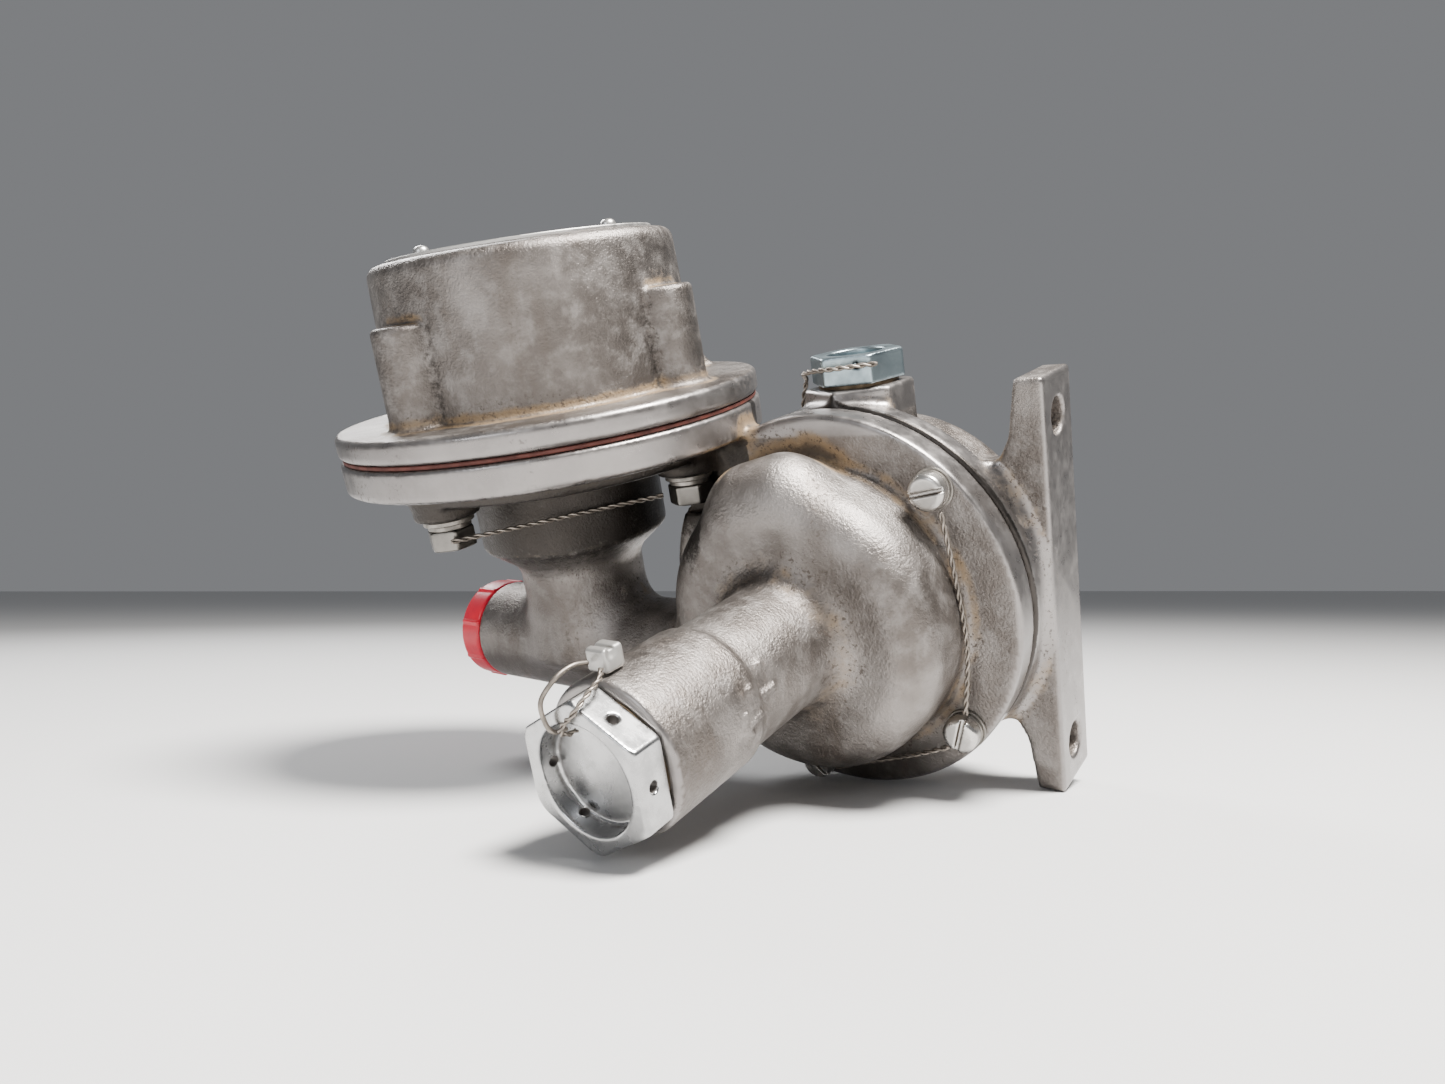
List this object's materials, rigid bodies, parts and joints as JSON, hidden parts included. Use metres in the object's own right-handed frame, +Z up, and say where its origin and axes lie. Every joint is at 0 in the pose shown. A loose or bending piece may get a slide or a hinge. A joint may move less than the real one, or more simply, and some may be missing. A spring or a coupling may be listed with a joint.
{
  "type": "diaphragm valve",
  "caption": "Cast aluminium diaphragm valve: a flanged drum with a plugged outlet tube, a round pilot diaphragm chamber on a neck, a capped inlet pipe and a side mounting pad.",
  "frame": {"origin": "centre of the mounting pad's flat face, midway between its two bolt holes", "axes": "+X out of the pad's face, +Y along the drum axis away from the outlet tube, +Z up through the pilot chamber and its nameplate"},
  "size_m": [0.1896, 0.146, 0.1586],
  "materials": {
    "casting": "sand-cast, satin",
    "plated": "zinc-plated, satin",
    "steel": "bright",
    "brass": "machined",
    "wire": "drawn wire",
    "lead": "soft grey metal, crimped",
    "nameplate": "satin",
    "black_rubber": "matt",
    "red_rubber": "matt",
    "red_plastic": "gloss"
  },
  "bodies": {
    "housing": {"cover_lockwire_1": "wire", "cover_lockwire_2": "wire", "cover_screw_1": "steel", "cover_screw_2": "steel", "cover_screw_3": "steel", "cover_screw_4": "steel", "cover_spring_washer_1": "steel", "cover_spring_washer_2": "steel", "cover_spring_washer_3": "steel", "cover_spring_washer_4": "steel", "cover_washer_1": "steel", "cover_washer_2": "steel", "cover_washer_3": "steel", "cover_washer_4": "steel", "drive_screw_1": "plated", "drive_screw_2": "plated", "drive_screw_3": "plated", "drive_screw_4": "plated", "lead_seal": "lead", "main_diaphragm": "black_rubber", "main_seat": "brass", "main_spring": "steel", "nameplate": "nameplate", "outlet_plug": "plated", "outlet_seal_washer": "brass", "pilot_bolt_1": "steel", "pilot_bolt_2": "steel", "pilot_bolt_3": "steel", "pilot_cover": "casting", "pilot_diaphragm": "red_rubber", "pilot_guide": "brass", "pilot_lockwire": "wire", "pilot_seat": "brass", "pilot_spring": "steel", "pilot_spring_cup": "steel", "pilot_spring_washer_1": "steel", "pilot_spring_washer_2": "steel", "pilot_spring_washer_3": "steel", "pilot_washer_1": "steel", "pilot_washer_2": "steel", "pilot_washer_3": "steel", "rear_housing": "casting", "seal_wire_loop": "wire", "seal_wire_strand": "wire", "top_plug": "plated", "top_plug_lockwire": "wire", "top_plug_washer": "brass", "valve_body": "casting"},
    "main_valve": {"main_stem": "brass", "main_plate_front": "steel", "main_plate_rear": "steel", "main_nut": "plated"},
    "pilot_valve": {"pilot_stem": "brass", "pilot_plate_lower": "steel", "pilot_plate_upper": "steel", "pilot_nut": "plated"},
    "cap": {"dust_cap": "red_plastic"}
  },
  "joints": [
    {"name": "main_valve_slide", "type": "slide", "parent": "housing", "child": "main_valve", "axis": [0, 1, 0], "range_m": [0, 0.006], "stiffness_N_per_m": 600, "deforming": ["main_diaphragm", "main_spring"]},
    {"name": "pilot_valve_slide", "type": "slide", "parent": "housing", "child": "pilot_valve", "axis": [0, 0, 1], "range_m": [0, 0.004], "stiffness_N_per_m": 400, "deforming": ["pilot_diaphragm", "pilot_spring"]},
    {"name": "dust_cap_slide", "type": "slide", "parent": "housing", "child": "cap", "axis": [-1, 0, 0], "range_m": [0, 0.025]}
  ]
}
